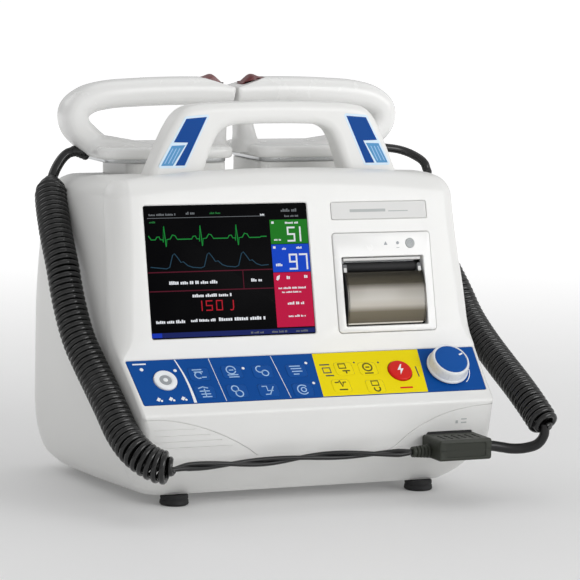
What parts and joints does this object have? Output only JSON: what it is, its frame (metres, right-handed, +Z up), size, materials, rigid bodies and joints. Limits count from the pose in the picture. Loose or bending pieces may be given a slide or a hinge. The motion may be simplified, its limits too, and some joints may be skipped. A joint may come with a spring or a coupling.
{
  "type": "defibrillator",
  "caption": "Portable monitor defibrillator: white moulded case, colour screen, strip printer, blue and yellow keypad with turn knob, two stored hand paddles on coiled cords.",
  "frame": {"origin": "on the table plane under the feet, under the middle of the whole object's box, between the two cords", "axes": "+X to the right across the front as the user faces it, +Y from the screen side to the rear, +Z up"},
  "size_m": [0.3554, 0.2673, 0.3103],
  "materials": {
    "housing_white": "satin moulded, fine spark texture",
    "plate_grey": "matt printed film",
    "overlay": "printed membrane, blue and yellow fields",
    "key_blue": "satin embossed key",
    "key_yellow": "satin embossed key",
    "shock_red": "gloss lens cap",
    "discharge_red": "satin",
    "power_white": "satin",
    "knob_blue": "satin, white skirt",
    "screen_glass": "polished, lit display behind",
    "tinted_window": "smoke-tinted clear plastic",
    "paper": "thermal paper",
    "electrode_steel": "fine brushed",
    "zinc_steel": "zinc plated",
    "sheet_aluminium": "folded sheet",
    "black_rubber": "matt",
    "cord_black": "satin polyurethane sheath",
    "connector_grey": "moulded, matt",
    "black_plastic": "matt",
    "dark_grey_plastic": "moulded texture",
    "circuit_board": "solder mask",
    "inlay_blue": "gloss label"
  },
  "bodies": {
    "device": {"display_window": "screen_glass", "display_module": "dark_grey_plastic", "name_plate": "plate_grey", "printer_frame": "housing_white", "print_head": "sheet_aluminium", "tear_bar": "zinc_steel", "keypad_overlay": "overlay", "key_board": "circuit_board", "knob_encoder": "black_plastic", "front_housing": "housing_white", "rear_housing": "housing_white", "carry_handle": "housing_white", "handle_inlay_left": "inlay_blue", "handle_inlay_right": "inlay_blue", "cord_left": "cord_black", "cord_right": "cord_black", "plug_socket": "black_plastic", "chassis_plate": "sheet_aluminium", "main_board": "circuit_board", "charger_board": "circuit_board", "discharge_capacitor": "dark_grey_plastic", "waveform_inductor": "zinc_steel", "loudspeaker": "black_plastic", "mains_inlet": "black_plastic", "housing_screw_1": "zinc_steel", "housing_screw_2": "zinc_steel", "housing_screw_3": "zinc_steel", "housing_screw_4": "zinc_steel", "foot_front_left": "black_rubber", "foot_front_right": "black_rubber", "foot_rear_left": "black_rubber", "foot_rear_right": "black_rubber"},
    "energy_knob": {"energy_knob": "knob_blue"},
    "power_button": {"power_button": "power_white"},
    "shock_button": {"shock_button": "shock_red"},
    "key_blue_1": {"key_blue_1": "key_blue"},
    "key_blue_2": {"key_blue_2": "key_blue"},
    "key_blue_3": {"key_blue_3": "key_blue"},
    "key_blue_4": {"key_blue_4": "key_blue"},
    "key_blue_5": {"key_blue_5": "key_blue"},
    "key_blue_6": {"key_blue_6": "key_blue"},
    "key_blue_7": {"key_blue_7": "key_blue"},
    "key_blue_8": {"key_blue_8": "key_blue"},
    "key_yellow_1": {"key_yellow_1": "key_yellow"},
    "key_yellow_2": {"key_yellow_2": "key_yellow"},
    "key_yellow_3": {"key_yellow_3": "key_yellow"},
    "key_yellow_4": {"key_yellow_4": "key_yellow"},
    "printer_lid": {"printer_lid": "tinted_window"},
    "platen_roller": {"platen_roller": "black_rubber"},
    "paper_roll": {"paper_roll": "paper"},
    "paddle_left": {"paddle_left_head": "housing_white", "paddle_left_handle": "housing_white", "paddle_left_electrode": "electrode_steel"},
    "paddle_right": {"paddle_right_head": "housing_white", "paddle_right_handle": "housing_white", "paddle_right_electrode": "electrode_steel"},
    "discharge_button_left": {"paddle_left_button": "discharge_red"},
    "discharge_button_right": {"paddle_right_button": "discharge_red"},
    "battery_pack": {"battery_pack": "dark_grey_plastic"},
    "cable_plug": {"cable_plug": "connector_grey"}
  },
  "joints": [
    {"name": "energy_knob_turn", "type": "hinge", "parent": "device", "child": "energy_knob", "pos_m": [0.1135, -0.07616, 0.0958], "axis": [0, -0.6682, 0.744], "continuous": true},
    {"name": "key_blue_1_press", "type": "slide", "parent": "device", "child": "key_blue_1", "axis": [0, 0.6682, -0.744], "range_m": [0, 0.001], "stiffness_N_per_m": 600},
    {"name": "key_blue_2_press", "type": "slide", "parent": "device", "child": "key_blue_2", "axis": [0, 0.6682, -0.744], "range_m": [0, 0.001], "stiffness_N_per_m": 600},
    {"name": "key_blue_3_press", "type": "slide", "parent": "device", "child": "key_blue_3", "axis": [0, 0.6682, -0.744], "range_m": [0, 0.001], "stiffness_N_per_m": 600},
    {"name": "key_blue_4_press", "type": "slide", "parent": "device", "child": "key_blue_4", "axis": [0, 0.6682, -0.744], "range_m": [0, 0.001], "stiffness_N_per_m": 600},
    {"name": "key_blue_5_press", "type": "slide", "parent": "device", "child": "key_blue_5", "axis": [0, 0.6682, -0.744], "range_m": [0, 0.001], "stiffness_N_per_m": 600},
    {"name": "key_blue_6_press", "type": "slide", "parent": "device", "child": "key_blue_6", "axis": [0, 0.6682, -0.744], "range_m": [0, 0.001], "stiffness_N_per_m": 600},
    {"name": "key_blue_7_press", "type": "slide", "parent": "device", "child": "key_blue_7", "axis": [0, 0.6682, -0.744], "range_m": [0, 0.001], "stiffness_N_per_m": 600},
    {"name": "key_blue_8_press", "type": "slide", "parent": "device", "child": "key_blue_8", "axis": [0, 0.6682, -0.744], "range_m": [0, 0.001], "stiffness_N_per_m": 600},
    {"name": "key_yellow_1_press", "type": "slide", "parent": "device", "child": "key_yellow_1", "axis": [0, 0.6682, -0.744], "range_m": [0, 0.001], "stiffness_N_per_m": 600},
    {"name": "key_yellow_2_press", "type": "slide", "parent": "device", "child": "key_yellow_2", "axis": [0, 0.6682, -0.744], "range_m": [0, 0.001], "stiffness_N_per_m": 600},
    {"name": "key_yellow_3_press", "type": "slide", "parent": "device", "child": "key_yellow_3", "axis": [0, 0.6682, -0.744], "range_m": [0, 0.001], "stiffness_N_per_m": 600},
    {"name": "key_yellow_4_press", "type": "slide", "parent": "device", "child": "key_yellow_4", "axis": [0, 0.6682, -0.744], "range_m": [0, 0.001], "stiffness_N_per_m": 600},
    {"name": "power_button_press", "type": "slide", "parent": "device", "child": "power_button", "axis": [0, 0.6682, -0.744], "range_m": [0, 0.0015], "stiffness_N_per_m": 600},
    {"name": "shock_button_press", "type": "slide", "parent": "device", "child": "shock_button", "axis": [0, 0.6682, -0.744], "range_m": [0, 0.0015], "stiffness_N_per_m": 800},
    {"name": "printer_lid_open", "type": "hinge", "parent": "device", "child": "printer_lid", "pos_m": [0.0723, -0.05375, 0.13013], "axis": [1, 0, 0], "range_deg": [0, 75]},
    {"name": "paper_roll_spin", "type": "hinge", "parent": "device", "child": "paper_roll", "pos_m": [0.072, -0.02709, 0.14237], "axis": [1, 0, 0], "continuous": true},
    {"name": "platen_spin", "type": "hinge", "parent": "printer_lid", "child": "platen_roller", "pos_m": [0.0723, -0.03938, 0.17048], "axis": [1, 0, 0], "continuous": true},
    {"name": "paddle_left_lift", "type": "slide", "parent": "device", "child": "paddle_left", "axis": [0, 0, 1], "range_m": [0, 0.12]},
    {"name": "paddle_right_lift", "type": "slide", "parent": "device", "child": "paddle_right", "axis": [0, 0, 1], "range_m": [0, 0.12]},
    {"name": "discharge_left_press", "type": "slide", "parent": "paddle_left", "child": "discharge_button_left", "axis": [0, 0, -1], "range_m": [0, 0.002], "stiffness_N_per_m": 900},
    {"name": "discharge_right_press", "type": "slide", "parent": "paddle_right", "child": "discharge_button_right", "axis": [0, 0, -1], "range_m": [0, 0.002], "stiffness_N_per_m": 900},
    {"name": "battery_slide", "type": "slide", "parent": "device", "child": "battery_pack", "axis": [0, 1, 0], "range_m": [0, 0.105]},
    {"name": "plug_pull", "type": "slide", "parent": "device", "child": "cable_plug", "axis": [0, -1, 0], "range_m": [0, 0.02]}
  ],
  "couplings": [
    {"joint": "platen_spin", "follows": "paper_roll_spin", "ratio": -5.2632}
  ]
}
